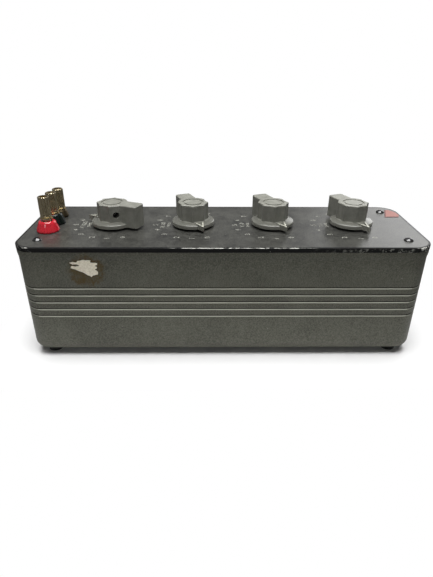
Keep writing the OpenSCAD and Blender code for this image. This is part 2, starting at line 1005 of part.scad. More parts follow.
module switch_deck_1() switch_deck(1);
module switch_deck_2() switch_deck(2);
module switch_deck_3() switch_deck(3);
module switch_deck_4() switch_deck(4);
module contacts_1() contacts(1);
module contacts_2() contacts(2);
module contacts_3() contacts(3);
module contacts_4() contacts(4);
module resistor_spools_1() resistor_spools(1);
module resistor_spools_2() resistor_spools(2);
module resistor_spools_3() resistor_spools(3);
module resistor_spools_4() resistor_spools(4);
module knob_1() knob(1);
module knob_2() knob(2);
module knob_3() knob(3);
module knob_4() knob(4);
module set_screw_1() set_screw(1);
module set_screw_2() set_screw(2);
module set_screw_3() set_screw(3);
module set_screw_4() set_screw(4);
module shaft_1() shaft(1);
module shaft_2() shaft(2);
module shaft_3() shaft(3);
module shaft_4() shaft(4);
module detent_wheel_1() detent_wheel(1);
module detent_wheel_2() detent_wheel(2);
module detent_wheel_3() detent_wheel(3);
module detent_wheel_4() detent_wheel(4);
module wiper_1() wiper(1);
module wiper_2() wiper(2);
module wiper_3() wiper(3);
module wiper_4() wiper(4);
module post_base_red() color(red) post_base(0);
module post_base_black() color(black) post_base(1);
module post_base_ground() color(nickel) post_base(2);
module post_washer_red() post_washer(0);
module post_washer_black() post_washer(1);
module post_washer_ground() post_washer(2);
module post_cap_red() post_cap(0);
module post_cap_black() post_cap(1);
module post_cap_ground() post_cap(2);

case();
panel();
panel_screws();
rubber_feet();
foot_screws();
shaft_bushings();
bushing_nuts();
index_plates();
stop_pins();
detent_springs();
deck_pillars();
deck_screws();
collector_rings();
switch_deck_1();
switch_deck_2();
switch_deck_3();
switch_deck_4();
contacts_1();
contacts_2();
contacts_3();
contacts_4();
resistor_spools_1();
resistor_spools_2();
resistor_spools_3();
resistor_spools_4();
resistor_windings();
link_straps();
knob_1();
knob_2();
knob_3();
knob_4();
set_screw_1();
set_screw_2();
set_screw_3();
set_screw_4();
shaft_1();
shaft_2();
shaft_3();
shaft_4();
detent_wheel_1();
detent_wheel_2();
detent_wheel_3();
detent_wheel_4();
wiper_1();
wiper_2();
wiper_3();
wiper_4();
post_base_red();
post_base_black();
post_base_ground();
post_studs();
post_insulators();
post_nuts();
post_washer_red();
post_washer_black();
post_washer_ground();
post_cap_red();
post_cap_black();
post_cap_ground();
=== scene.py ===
import json
import math
import random

import bmesh
import bpy
from mathutils import Matrix, Vector


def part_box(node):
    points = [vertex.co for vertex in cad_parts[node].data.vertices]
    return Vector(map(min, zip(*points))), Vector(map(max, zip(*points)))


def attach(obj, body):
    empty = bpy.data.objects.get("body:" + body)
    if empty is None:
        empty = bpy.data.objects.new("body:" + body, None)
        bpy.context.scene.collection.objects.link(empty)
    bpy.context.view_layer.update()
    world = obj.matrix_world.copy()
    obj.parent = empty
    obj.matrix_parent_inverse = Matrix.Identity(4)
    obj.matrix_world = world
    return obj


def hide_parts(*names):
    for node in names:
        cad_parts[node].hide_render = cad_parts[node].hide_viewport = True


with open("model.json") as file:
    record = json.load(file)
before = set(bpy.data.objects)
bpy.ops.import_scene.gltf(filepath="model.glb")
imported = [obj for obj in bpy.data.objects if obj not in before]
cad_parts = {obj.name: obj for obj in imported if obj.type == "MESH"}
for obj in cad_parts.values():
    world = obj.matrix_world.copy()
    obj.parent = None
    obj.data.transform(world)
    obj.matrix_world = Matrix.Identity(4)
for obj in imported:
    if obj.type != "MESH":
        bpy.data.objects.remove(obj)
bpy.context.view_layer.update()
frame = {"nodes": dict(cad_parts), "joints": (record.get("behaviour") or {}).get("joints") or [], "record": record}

# Sizes are in metres, in the frame of the model: X along the box, Y to the back, Z up.
MM = 0.001
nodes = frame["nodes"]
joints = {joint["child"]: joint for joint in frame["joints"]}
panel_low, panel_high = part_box("panel")
case_low, case_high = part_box("case")
panel_top = panel_high.z
DIALS = ("dial_1", "dial_2", "dial_3", "dial_4")
POSTS = ("red", "black", "ground")

# The panel and the case as the solids have them.
CORNER_R = 16.5 * MM
WALL_INSET = 0.9 * MM
WALL_LEAN = 0.8 * MM
RIM_H = 7 * MM
wall_top = case_high.z - RIM_H
wall_h = wall_top - case_low.z

# The stretch of the walls that the grooves lie in.
GROOVES_TOP = panel_top - 30 * MM
GROOVES_FOOT = panel_top - 66 * MM

# The knobs as the solids have them. Each end of the pointer's top has its reach from the shaft and
# its height above the panel.
SKIRT_R = 18 * MM
POINTER_ROOT = Vector((11 * MM, 6.9 * MM))
POINTER_TIP = Vector((25 * MM, 5.9 * MM))
POINTER_HALF_W = 5 * MM
POINTER_HALF_ANGLE = math.atan2(POINTER_HALF_W, POINTER_TIP.x - POINTER_ROOT.x)

# Where zero stands round each shaft, how far a dial turns from step to step, and its last step.
DIAL_START = math.radians(-67.5)
DIAL_STEP = math.radians(22.5)
LAST_STEP = 10

# The Mix node's sockets for colours, which share their names with those for numbers.
MIX_A, MIX_B, MIX_RESULT = 6, 7, 2


class Nodes:
    """A shader's node tree with short helpers that add nodes to it."""

    def __init__(self, tree):
        self.tree = tree

    def add(self, kind, **settings):
        node = self.tree.nodes.new(kind)
        for key, value in settings.items():
            setattr(node, key, value)
        return node

    def feed(self, source, target):
        if isinstance(source, bpy.types.NodeSocket):
            self.tree.links.new(source, target)
        else:
            target.default_value = source

    def math(self, operation, a, b=0.0):
        node = self.add("ShaderNodeMath", operation=operation)
        self.feed(a, node.inputs[0])
        self.feed(b, node.inputs[1])
        return node.outputs[0]

    def product(self, first, *others):
        for other in others:
            first = self.math("MULTIPLY", first, other)
        return first

    def root_sum(self, a, b):
        return self.math("SQRT", self.math("ADD", self.product(a, a), self.product(b, b)))

    def ramp(self, value, low, high):
        """Smooth step from 0 at low to 1 at high; low may be the larger."""
        node = self.add("ShaderNodeMapRange", interpolation_type="SMOOTHSTEP")
        self.feed(value, node.inputs["Value"])
        node.inputs["From Min"].default_value = min(low, high)
        node.inputs["From Max"].default_value = max(low, high)
        node.inputs["To Min"].default_value = 0.0 if low < high else 1.0
        node.inputs["To Max"].default_value = 1.0 if low < high else 0.0
        return node.outputs["Result"]

    def window(self, value, low, high, soft):
        """One between low and high, fading out over the given softness."""
        rise = self.ramp(value, low - soft, low + soft)
        fall = self.ramp(value, high + soft, high - soft)
        return self.product(rise, fall)

    def mix(self, factor, a, b):
        """A colour that goes from a to b."""
        node = self.add("ShaderNodeMix", data_type="RGBA")
        self.feed(factor, node.inputs["Factor"])
        self.feed(a, node.inputs[MIX_A])
        self.feed(b, node.inputs[MIX_B])
        return node.outputs[MIX_RESULT]

    def blend(self, factor, a, b):
        """A number that goes from the plain number a to b."""
        return self.math("ADD", a, self.product(factor, b - a))

    def choose(self, factor, a, b):
        """A number that goes from a to b, each of which may come from other nodes."""
        node = self.add("ShaderNodeMix")
        self.feed(factor, node.inputs["Factor"])
        self.feed(a, node.inputs["A"])
        self.feed(b, node.inputs["B"])
        return node.outputs["Result"]


class Finish(Nodes):
    """A Principled material."""

    def __init__(self, name, roughness=0.5, metallic=0.0, specular=0.5):
        self.material = bpy.data.materials.new(name)
        self.material.use_nodes = True
        super().__init__(self.material.node_tree)
        self.bsdf = self.tree.nodes["Principled BSDF"]
        self.bsdf.inputs["Roughness"].default_value = roughness
        self.bsdf.inputs["Metallic"].default_value = metallic
        self.bsdf.inputs["Specular IOR Level"].default_value = specular
        self.place = self.add("ShaderNodeTexCoord").outputs["Object"]

    def axes(self):
        split = self.add("ShaderNodeSeparateXYZ")
        self.feed(self.place, split.inputs[0])
        return split.outputs

    def facing(self):
        split = self.add("ShaderNodeSeparateXYZ")
        self.feed(self.add("ShaderNodeTexCoord").outputs["Normal"], split.inputs[0])
        return split.outputs

    def noise(self, size, detail=3.0, roughness=0.5, stretch=(1, 1, 1)):
        """Noise from 0 to 1 whose grain has about the given size."""
        node = self.add("ShaderNodeTexNoise")
        node.inputs["Scale"].default_value = 1 / size
        node.inputs["Detail"].default_value = detail
        node.inputs["Roughness"].default_value = roughness
        scale = self.add("ShaderNodeVectorMath", operation="MULTIPLY")
        self.feed(self.place, scale.inputs[0])
        scale.inputs[1].default_value = stretch
        self.feed(scale.outputs[0], node.inputs["Vector"])
        return node.outputs["Fac"]

    def colour(self, value):
        self.feed(value, self.bsdf.inputs["Base Color"])

    def rough(self, value):
        self.feed(value, self.bsdf.inputs["Roughness"])

    def specular(self, value):
        self.feed(value, self.bsdf.inputs["Specular IOR Level"])

    def bump(self, height, depth, strength=1.0):
        node = self.add("ShaderNodeBump")
        node.inputs["Strength"].default_value = strength
        node.inputs["Distance"].default_value = depth
        self.feed(height, node.inputs["Height"])
        self.feed(node.outputs["Normal"], self.bsdf.inputs["Normal"])


def rgb(red, green, blue):
    return (red, green, blue, 1.0)


def grey(level, olive=0.0):
    """A grey, drawn towards olive by taking out some blue."""
    return rgb(level, level, level * (1 - olive))


def past(f, value, limit):
    """How far a coordinate lies past a limit on either side of the middle, negative within it."""
    return f.math("SUBTRACT", f.math("ABSOLUTE", value), limit)


def reach_outside(f, past_x, past_y):
    """How far a point lies outside a rectangle, from how far each coordinate lies past its sides."""
    return f.root_sum(f.math("MAXIMUM", past_x, 0.0), f.math("MAXIMUM", past_y, 0.0))


def inside_edge(f, x, y):
    """How far a point lies inside the panel's rounded outline, negative outside it."""
    past_x = past(f, x, panel_high.x - CORNER_R)
    past_y = past(f, y, panel_high.y - CORNER_R)
    within = f.math("MINIMUM", f.math("MAXIMUM", past_x, past_y), 0.0)
    return f.math("SUBTRACT", CORNER_R, f.math("ADD", reach_outside(f, past_x, past_y), within))


def case_paint():
    """Olive grey paint with a fine grain and pale specks, a painted highlight on the grooves' lower lips, painted
    shade in their valleys, and stained by glue.
    """
    f = Finish("case_paint", specular=0.2)
    dark, light, pale = grey(0.06, 0.2), grey(0.145, 0.2), grey(0.24, 0.15)
    # A pale grey for the painted highlight on the grooves' lips, and a near black for the painted shade in their
    # valleys.
    bare_metal_and_highlight, valley_shade_grey = grey(0.5, 0.15), grey(0.02, 0.2)
    glue = rgb(0.082, 0.056, 0.02)
    x, y, z = f.axes()
    grain = f.noise(0.9 * MM, detail=2.0)
    cloud = f.noise(35 * MM, detail=4.0)
    tone = f.math("ADD", f.product(grain, 0.8), f.product(cloud, 0.3))
    paint = f.mix(f.ramp(tone, 0.3, 0.8), dark, light)
    specks = f.ramp(f.noise(3.2 * MM, detail=1.0), 0.75, 0.8)
    paint = f.mix(f.product(specks, 0.6), paint, pale)
    # Painted highlight on the grooves' lower lips and painted shade in their valleys.
    lip_highlight, valley_shade = groove_wear(f, x, y, z)
    paint = f.mix(valley_shade, f.mix(lip_highlight, paint, bare_metal_and_highlight), valley_shade_grey)
    f.colour(f.mix(glue_mask(f, x, y, z), paint, glue))
    f.rough(f.blend(cloud, 0.42, 0.62))
    f.bump(grain, 0.12 * MM, 0.6)
    return f


def groove_wear(f, x, y, z):
    """The lower lips of the grooves, where they face up, given a painted highlight, and the valleys above them,
    given painted shade.
    """
    lean_in = f.product(f.math("SUBTRACT", wall_top, z), WALL_LEAN / wall_h)
    depth = f.math("SUBTRACT", f.math("SUBTRACT", inside_edge(f, x, y), WALL_INSET), lean_in)
    in_band = f.window(z, GROOVES_FOOT, GROOVES_TOP, 2 * MM)
    facing = f.facing()
    straight = f.ramp(f.math("ABSOLUTE", f.product(facing["X"], facing["Y"])), 0.19, 0.13)
    lip_highlight = f.product(in_band, f.blend(straight, 0.4, 1.0), f.ramp(facing["Z"], 0.4, 0.6))
    valley_shade = f.product(in_band, f.ramp(depth, 0.35 * MM, 0.6 * MM))
    return lip_highlight, valley_shade


def glue_mask(f, x, y, z):
    """The patchy stain of old glue on the front of the case, round the scrap of paper."""
    middle_x, middle_z = -108.5 * MM, panel_top - 20 * MM
    half_w, half_h = 15 * MM, 14.5 * MM
    across = f.product(f.math("SUBTRACT", x, middle_x), 1 / half_w)
    up = f.product(f.math("SUBTRACT", z, middle_z), 1 / half_h)
    patch = f.noise(3.5 * MM, detail=5.0, roughness=0.7)
    ragged = f.product(f.math("SUBTRACT", patch, 0.5), 0.9)
    reach = f.math("ADD", f.root_sum(across, up), ragged)
    front = f.ramp(y, 0.0, -20 * MM)
    thin = f.blend(f.ramp(patch, 0.3, 0.65), 1.0, 0.45)
    return f.product(f.ramp(reach, 1.1, 0.7), front, thin)


def panel_paint():
    """Dusty black paint, plain and hardly glossy round the edge."""
    f = Finish("panel_paint", roughness=0.3, specular=0.4)
    black, dusty, plain = grey(0.01, 0.05), grey(0.066, 0.12), grey(0.014)
    scraped, bare_metal_and_highlight = grey(0.24, 0.1), grey(0.7, 0.08)
    x, y, z = f.axes()
    dust = f.noise(22 * MM, detail=6.0, roughness=0.65)
    scuff = f.noise(4 * MM, detail=5.0, roughness=0.7)
    grain = f.noise(1.1 * MM)
    fine = f.math("ADD", f.product(scuff, 0.3), f.product(grain, 0.45))
    level = f.math("ADD", f.product(dust, 0.3), fine)
    depth = inside_edge(f, x, y)
    flat = f.product(f.ramp(f.facing()["Z"], 0.8, 0.98), f.ramp(depth, 1.4 * MM, 2.4 * MM))
    paint = f.mix(flat, plain, f.mix(f.ramp(level, 0.38, 0.66), black, dusty))
    paint = f.mix(side_scuffs(f, x, z, scuff), paint, scraped)
    f.colour(f.mix(edge_wear(f, x, y, z, depth), paint, bare_metal_and_highlight))
    f.rough(f.blend(scuff, 0.22, 0.4))
    f.specular(f.blend(flat, 0.05, 0.42))
    f.bump(f.math("ADD", f.product(grain, 0.4), f.product(scuff, 0.6)), 0.05 * MM, 0.5)
    return f


def side_scuffs(f, x, z, scuff):
    """Grey marks on the panel's own edge, towards its right end."""
    below = f.ramp(z, panel_top - 0.5 * MM, panel_top - 0.9 * MM)
    rightward = f.ramp(x, 60 * MM, 130 * MM)
    return f.product(below, rightward, f.ramp(scuff, 0.5, 0.65))


def edge_wear(f, x, y, z, depth):
    """Paint rubbed off along the middle of the front edge, chipped at its corners and in stray spots."""
    rub_left, rub_right, rub_fade = -34 * MM, 62 * MM, 14 * MM
    chips = f.noise(2.6 * MM, detail=5.0, roughness=0.75, stretch=(0.4, 1, 1))
    front = f.ramp(y, -30 * MM, -44 * MM)
    high = f.ramp(z, panel_top - 0.6 * MM, panel_top - 0.3 * MM)
    crest = f.product(f.ramp(depth, 0.7 * MM, 0.3 * MM), high)
    rubbed = f.window(x, rub_left, rub_right, rub_fade)
    middle = f.product(crest, f.ramp(chips, 0.4, 0.58), front, rubbed)
    chipped = f.product(f.ramp(chips, 0.56, 0.62), f.ramp(depth, 0.8 * MM, 0.2 * MM))
    near_ends = f.ramp(f.math("ABSOLUTE", x), 146 * MM, 156 * MM)
    corners = f.product(chipped, front, near_ends)
    stray = f.product(f.ramp(chips, 0.67, 0.71), f.ramp(depth, 0.8 * MM, 0.3 * MM))
    return f.math("MAXIMUM", f.math("MAXIMUM", middle, corners), stray)


def black_screw():
    f = Finish("black_screw", roughness=0.1, specular=0.8)
    f.colour(f.mix(f.noise(0.8 * MM), grey(0.003), grey(0.012)))
    return f


def rubber():
    f = Finish("rubber", roughness=0.8, specular=0.2)
    f.colour(f.mix(f.noise(2 * MM), grey(0.008), grey(0.02)))
    f.bump(f.noise(0.5 * MM), 0.05 * MM, 0.4)
    return f


def plain_metal(name, dark, light, roughness):
    """Metal with smears that change its colour and its roughness a little."""
    f = Finish(name, roughness=roughness, metallic=1.0)
    spread = 0.08
    smear = f.noise(4 * MM, detail=4.0)
    f.colour(f.mix(smear, dark, light))
    f.rough(f.blend(smear, roughness - spread, roughness + spread))
    f.bump(f.noise(0.3 * MM, stretch=(1, 1, 0.1)), 0.02 * MM, 0.3)
    return f


def laminate():
    f = Finish("laminate", roughness=0.45)
    layers = f.noise(3 * MM, stretch=(1, 8, 1))
    f.colour(f.mix(layers, rgb(0.16, 0.075, 0.03), rgb(0.26, 0.13, 0.06)))
    return f


def ceramic():
    f = Finish("ceramic", roughness=0.3)
    f.colour(f.mix(f.noise(5 * MM), rgb(0.62, 0.58, 0.48), rgb(0.74, 0.71, 0.62)))
    return f


def knob_plastic():
    """Cloudy grey plastic, with painted shade on the upper face of the skirt, which is also glossier."""
    f = Finish("knob_plastic", roughness=0.4)
    dark, light, skirt_shade_grey = grey(0.16, 0.14), grey(0.22, 0.13), grey(0.105, 0.14)
    cloud = f.noise(6 * MM, detail=5.0, roughness=0.6)
    moulded = f.mix(f.ramp(cloud, 0.3, 0.7), dark, light)
    low_down = f.ramp(f.axes()["Z"], panel_top + 7 * MM, panel_top + 6 * MM)
    skirt = f.product(low_down, f.ramp(f.facing()["Z"], 0.5, 0.8))
    # Painted shade on the skirt's upper face, which is given a darker grey.
    f.colour(f.mix(skirt, moulded, skirt_shade_grey))
    f.rough(f.product(f.blend(cloud, 0.3, 0.5), f.blend(skirt, 1.0, 0.55)))
    f.bump(f.product(f.noise(0.6 * MM), f.blend(skirt, 1.0, 0.2)), 0.03 * MM, 0.4)
    return f


def gloss_plastic(name, dark, light, specular):
    f = Finish(name, roughness=0.12, specular=specular)
    cloud = f.noise(5 * MM, detail=4.0)
    f.colour(f.mix(cloud, dark, light))
    f.rough(f.blend(cloud, 0.03, 0.1))
    return f


def dial_print():
    """Pale filling of the figures, worn away in places."""
    f = Finish("dial_print", roughness=0.6, specular=0.2)
    wear_and_sheen = f.noise(1.6 * MM, detail=4.0, roughness=0.7)
    f.colour(f.mix(f.ramp(wear_and_sheen, 0.48, 0.64), grey(0.3, 0.12), grey(0.07, 0.1)))
    return f


# Pale grey for the painted highlight on the pointers' raised edges, broken into patches.
def pointer_paint():
    f = Finish("pointer_paint", roughness=0.35)
    wear_and_sheen = f.noise(1.5 * MM)
    f.colour(f.mix(f.ramp(wear_and_sheen, 0.35, 0.65), grey(0.5, 0.15), grey(0.28, 0.15)))
    return f


# Three edges of the label, and how far the left one leans to the right for each length to the back.
LABEL_LEFT = 147.9 * MM
LABEL_FRONT = 21 * MM
LABEL_BACK = 42 * MM
LABEL_LEAN = 0.32


def label_red():
    """Faded red, darker along the label's left and front edges."""
    f = Finish("label_red", roughness=0.45, specular=0.3)
    faded, pale, rim = rgb(0.2, 0.075, 0.06), rgb(0.28, 0.12, 0.1), rgb(0.07, 0.012, 0.008)
    x, y, _ = f.axes()
    middle = f.mix(f.noise(5 * MM, detail=4.0), faded, pale)
    lean = f.product(f.math("SUBTRACT", y, LABEL_FRONT), LABEL_LEAN)
    from_left = f.math("SUBTRACT", f.math("SUBTRACT", x, LABEL_LEFT), lean)
    front_rim = f.ramp(y, LABEL_FRONT + 2.4 * MM, LABEL_FRONT + 1.4 * MM)
    left_rim = f.ramp(from_left, 1.5 * MM, 0.8 * MM)
    f.colour(f.mix(f.math("MAXIMUM", front_rim, left_rim), middle, rim))
    return f


def torn_paper():
    f = Finish("torn_paper", roughness=0.9, specular=0.1)
    fibres = f.noise(1.8 * MM, detail=6.0, roughness=0.7, stretch=(1, 1, 2))
    f.colour(f.mix(f.ramp(fibres, 0.3, 0.7), rgb(0.7, 0.64, 0.5), rgb(0.96, 0.91, 0.77)))
    f.bump(fibres, 0.15 * MM, 0.8)
    return f


FINISHES = {
    "case_paint": case_paint(),
    "panel_paint": panel_paint(),
    "black_screw": black_screw(),
    "rubber": rubber(),
    "steel": plain_metal("steel", grey(0.36), grey(0.5), 0.35),
    "brass": plain_metal("brass", rgb(0.45, 0.3, 0.1), rgb(0.6, 0.42, 0.17), 0.32),
    "copper": plain_metal("copper", rgb(0.5, 0.22, 0.1), rgb(0.66, 0.32, 0.17), 0.35),
    "nickel": plain_metal("nickel", rgb(0.42, 0.35, 0.22), rgb(0.74, 0.65, 0.46), 0.2),
    "dark_metal": plain_metal("dark_metal", rgb(0.04, 0.03, 0.018), rgb(0.12, 0.095, 0.055), 0.4),
    "laminate": laminate(),
    "ceramic": ceramic(),
    "knob_plastic": knob_plastic(),
    "red_plastic": gloss_plastic(
        "red_plastic", dark=rgb(0.42, 0.01, 0.02), light=rgb(0.55, 0.015, 0.028), specular=0.6
    ),
    "black_plastic": gloss_plastic(
        "black_plastic", dark=rgb(0.002, 0.004, 0.003), light=rgb(0.006, 0.01, 0.008), specular=0.25
    ),
    "dial_print": dial_print(),
    "pointer_paint": pointer_paint(),
    "label_red": label_red(),
    "torn_paper": torn_paper(),
}


def dress_nodes():
    for part in frame["record"]["subparts"]:
        materials = nodes[part["node"]].data.materials
        materials.clear()
        materials.append(FINISHES[part["material_slot"]].material)


def add_piece(name, bm, finish, body, smooth=False):
    """Puts a work mesh, made in the frame of the model, into the scene to move with a body."""
    for face in bm.faces:
        face.smooth = smooth
    mesh = bpy.data.meshes.new(name)
    bm.to_mesh(mesh)
    bm.free()
    mesh.materials.append(FINISHES[finish].material)
    piece = bpy.data.objects.new(name, mesh)
    bpy.context.scene.collection.objects.link(piece)
    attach(piece, body)
    return piece


def thicken(bm, rise):
    """Gives a flat sheet a thickness."""
    raised = bmesh.ops.extrude_face_region(bm, geom=list(bm.faces))["geom"]
    verts = [part for part in raised if isinstance(part, bmesh.types.BMVert)]
    bmesh.ops.translate(bm, vec=rise, verts=verts)
    bmesh.ops.recalc_face_normals(bm, faces=bm.faces)


# Angles between faces: below the first they are one flat face, above the second their edge is
# rounded over, and above the third, after that, it is shaded as a crease.
FLAT_ANGLE = math.radians(0.4)
SHARP_ANGLE = math.radians(25)
CREASE_ANGLE = math.radians(35)


def work_copy(node):
    """A joined-up copy of a solid with its flat faces whole."""
    bm = bmesh.new()
    bm.from_mesh(nodes[node].data)
    bmesh.ops.remove_doubles(bm, verts=bm.verts, dist=0.002 * MM)
    bmesh.ops.dissolve_limit(bm, angle_limit=FLAT_ANGLE, verts=bm.verts, edges=bm.edges)
    return bm


def outer_edges(bm, wanted):
    """Sharp edges that stick out and that the given test picks."""
    edges = [edge for edge in bm.edges if edge.is_manifold and edge.is_convex]
    return [edge for edge in edges if edge.calc_face_angle() > SHARP_ANGLE and wanted(edge)]


def any_edge(edge):
    return True


def round_over(bm, width, steps, wanted):
    bmesh.ops.bevel(
        bm,
        geom=outer_edges(bm, wanted),
        offset=width,
        offset_type="OFFSET",
        segments=steps,
        profile=0.5,
        affect="EDGES",
        clamp_overlap=False,
    )


def mark_creases(bm):
    """Keeps the shading apart across edges that are still sharp."""
    for edge in bm.edges:
        edge.smooth = not edge.is_manifold or edge.calc_face_angle() < CREASE_ANGLE


def softened(node, body, slot, rounds, finish=None):
    """Replaces a solid by a copy whose sharp outer edges are rounded over.

    Each round has its width, the number of its steps and the test for the edges that it takes.
    """
    bm = work_copy(node)
    for width, steps, wanted in rounds:
        round_over(bm, width, steps, wanted)
    mark_creases(bm)
    piece = add_piece(node + "_soft", bm, finish or slot, body, smooth=True)
    weighted = piece.modifiers.new("faces", "WEIGHTED_NORMAL")
    weighted.keep_sharp = True
    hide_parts(node)


def pointer_angle(dial):
    """The way a dial may still turn back is the way it has turned from zero."""
    return DIAL_START - math.radians(joints[dial]["range_deg"][1])


# Limits that tell a knob's edges apart: reaches from the shaft, and heights.
TOP_INNER_R = 9.5 * MM
BAR_FROM = 14 * MM
POINTER_FROM = 13.5 * MM
POINTER_ABOVE = 5 * MM
RIM_ABOVE = 2.5 * MM
RIM_BELOW = 6 * MM
UPRIGHT_H = 5 * MM
SAME_R = 0.1 * MM
SAME_Z = 0.05 * MM


class KnobEdges:
    """Tells the edges of one knob apart, seen with its pointer along X."""

    def __init__(self, dial):
        self.node = dial.replace("dial", "knob")
        self.centre = Vector(joints[dial]["pos_m"])
        self.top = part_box(self.node)[1].z
        self.turn = Matrix.Rotation(-pointer_angle(dial), 3, "Z")

    def ends(self, edge):
        return [self.turn @ (vert.co - self.centre) for vert in edge.verts]

    def on_top(self, edge):
        flat = min(vert.co.z for vert in edge.verts) > self.top - SAME_Z
        return flat and min(end.xy.length for end in self.ends(edge)) > TOP_INNER_R

    def upright(self, edge):
        first, second = self.ends(edge)
        return abs(first.z - second.z) > UPRIGHT_H and (first - second).xy.length < SAME_R

    def on_bar(self, edge):
        return max(end.x for end in self.ends(edge)) < -BAR_FROM

    def bar_corner(self, edge):
        return self.upright(edge) and self.on_bar(edge)

    def ridge(self, edge):
        return self.upright(edge) and not self.on_bar(edge)

    def rim(self, edge):
        level = all(RIM_ABOVE < vert.co.z - panel_top < RIM_BELOW for vert in edge.verts)
        return level and all(abs(end.xy.length - SKIRT_R) < SAME_R for end in self.ends(edge))

    def pointer(self, edge):
        far = min(end.x for end in self.ends(edge)) > POINTER_FROM
        return far and min(vert.co.z for vert in edge.verts) > panel_top + POINTER_ABOVE


def soft_knobs():
    """Moulded knobs: well rounded on the bar and along the top, less so elsewhere."""
    for dial in DIALS:
        edges = KnobEdges(dial)
        rounds = (
            (1.8 * MM, 5, edges.bar_corner),
            (0.9 * MM, 4, edges.on_top),
            (0.35 * MM, 3, edges.ridge),
            (0.15 * MM, 2, edges.pointer),
            (0.5 * MM, 4, edges.rim),
        )
        softened(edges.node, dial, "knob_plastic", rounds)


def soft_posts():
    base_rounds = ((0.35 * MM, 3, any_edge),)
    cap_rounds = ((0.2 * MM, 2, any_edge),)
    softened("post_base_red", "box", "red_plastic", base_rounds)
    softened("post_base_black", "box", "black_plastic", base_rounds)
    softened("post_base_ground", "box", "nickel", base_rounds, finish="dark_metal")
    for post in POSTS:
        softened("post_cap_" + post, "cap_" + post, "nickel", cap_rounds)


def soft_trim():
    softened("panel_screws", "box", "black_screw", ((0.2 * MM, 2, any_edge),))
    softened("rubber_feet", "box", "rubber", ((0.5 * MM, 3, any_edge),))


# The pointer's two stripes of painted highlight: where they start from the shaft, how far inside
# the pointer's edges they lie, how high above its top, and how thick they are.
MARK_START = 14.5 * MM
MARK_OUTER = 0.25 * MM
MARK_INNER = 1.15 * MM
MARK_LIFT = 0.02 * MM
MARK_THICK = 0.06 * MM


def mark_tip(inset):
    """How far along the pointer the lines meet that run inside its two edges."""
    return POINTER_TIP.x - inset / math.sin(POINTER_HALF_ANGLE)


def mark_half_width(along, inset):
    """How far from the pointer's middle such a line is at a place along it."""
    half_w = (POINTER_TIP.x - along) * math.tan(POINTER_HALF_ANGLE)
    return max(half_w - inset / math.cos(POINTER_HALF_ANGLE), 0.0)


def on_pointer(dial, along, across):
    """A place just above the sloping top of a dial's pointer."""
    share = (along - POINTER_ROOT.x) / (POINTER_TIP.x - POINTER_ROOT.x)
    height = POINTER_ROOT.y + share * (POINTER_TIP.y - POINTER_ROOT.y) + MARK_LIFT
    centre = Vector(joints[dial]["pos_m"])
    flat = Matrix.Rotation(pointer_angle(dial), 3, "Z") @ Vector((along, across, 0))
    return Vector((centre.x + flat.x, centre.y + flat.y, panel_top + height))


def pointer_marks():
    """A painted highlight on the raised edges of each pointer: two pale strips in a V."""
    for dial in DIALS:
        bm = bmesh.new()
        for way in (-1, 1):
            corners = (
                on_pointer(dial, MARK_START, way * mark_half_width(MARK_START, MARK_OUTER)),
                on_pointer(dial, mark_tip(MARK_OUTER), 0.0),
                on_pointer(dial, mark_tip(MARK_INNER), 0.0),
                on_pointer(dial, MARK_START, way * mark_half_width(MARK_START, MARK_INNER)),
            )
            bm.faces.new([bm.verts.new(corner) for corner in corners])
        bmesh.ops.remove_doubles(bm, verts=bm.verts, dist=0.01 * MM)
        thicken(bm, Vector((0, 0, MARK_THICK)))
        add_piece("pointer_mark_" + dial, bm, "pointer_paint", dial)


# Print on the panel: heights of letters, and where they stand from the shaft.
CAPITAL_SHARE = 0.7
INK_HALF = 0.02 * MM
INK_LIFT = 0.03 * MM
FIGURE_H, FIGURE_R = 4.4 * MM, 32.3 * MM
VALUE_H, VALUE_R = 3.8 * MM, 26 * MM
UNIT_H, UNIT_R = 2.6 * MM, 21 * MM
STEP_VALUES = ("1000", "100", "10", "1")


def letters(text, height):
    """A mesh of flat letters of the given height about the origin."""
    curve = bpy.data.curves.new("letters", "FONT")
    curve.body = text
    curve.size = height / CAPITAL_SHARE
    curve.align_x = "CENTER"
    curve.align_y = "CENTER"
    curve.extrude = INK_HALF
    writer = bpy.data.objects.new("letters", curve)
    bpy.context.scene.collection.objects.link(writer)
    depsgraph = bpy.context.evaluated_depsgraph_get()
    mesh = bpy.data.meshes.new_from_object(writer.evaluated_get(depsgraph))
    bpy.data.objects.remove(writer)
    bpy.data.curves.remove(curve)
    return mesh


def print_on_panel(sheet, text, height, x, y):
    """Adds letters to a sheet of print, to be read from the end of the box that has no posts."""
    mesh = letters(text, height)
    turn = Matrix.Rotation(math.radians(90), 4, "Z")
    mesh.transform(Matrix.Translation((x, y, panel_top + INK_LIFT)) @ turn)
    sheet.from_mesh(mesh)
    bpy.data.meshes.remove(mesh)


def dial_figures():
    """Figures around each knob and the value of one step beside it."""
    for dial, value in zip(DIALS, STEP_VALUES):
        sheet = bmesh.new()
        centre = Vector(joints[dial]["pos_m"])
        for step in range(LAST_STEP + 1):
            angle = DIAL_START - DIAL_STEP * step
            x = centre.x + FIGURE_R * math.cos(angle)
            y = centre.y + FIGURE_R * math.sin(angle)
            print_on_panel(sheet, str(step), FIGURE_H, x, y)
        print_on_panel(sheet, "X " + value, VALUE_H, centre.x - VALUE_R, centre.y)
        print_on_panel(sheet, "OHMS", UNIT_H, centre.x - UNIT_R, centre.y)
        add_piece("figures_" + dial, sheet, "dial_print", "box")


